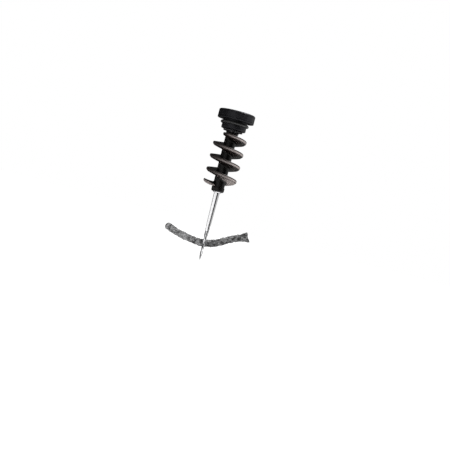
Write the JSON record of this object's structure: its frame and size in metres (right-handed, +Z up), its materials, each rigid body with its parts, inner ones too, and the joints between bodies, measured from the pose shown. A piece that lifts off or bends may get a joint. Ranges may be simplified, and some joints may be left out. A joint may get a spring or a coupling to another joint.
{
  "type": "tyre plug insertion tool",
  "caption": "Hand tool that pushes a fibre repair plug into a tyre with a split-eye needle; its flexible spiral sleeve and cap store it in a handlebar end",
  "frame": {"origin": "centre of the cap's flat outer face", "axes": "+Z up along the tool's axis, from the needle to the cap; +X along the plug, to the right of a viewer who looks along +Y"},
  "size_m": [0.0523, 0.0226, 0.093],
  "materials": {
    "cap": "black anodised, fine turned",
    "disc": "dark anodised, spun",
    "seal": "satin",
    "fastener": "zinc plated",
    "core": "turned",
    "ferrule": "polished",
    "washer": "matte",
    "sleeve": "glossy moulded elastomer",
    "needle": "polished",
    "plug": "matte fibre soaked in rubber"
  },
  "bodies": {
    "tool": {"end_cap": "cap", "cap_disc": "disc", "cap_o_ring": "seal", "cap_screw": "fastener", "screw_washer": "fastener", "core_shaft": "core", "needle_pin": "fastener", "nose_ferrule": "ferrule", "sleeve_washer": "washer", "helix_sleeve": "sleeve", "needle": "needle"},
    "plug": {"repair_plug": "plug"}
  },
  "joints": [
    {"name": "plug_slide", "type": "hinge", "parent": "tool", "child": "plug", "pos_m": [-0.004, 0, -0.0402], "axis": [0, 1, 0], "range_deg": [-26, 26]}
  ]
}
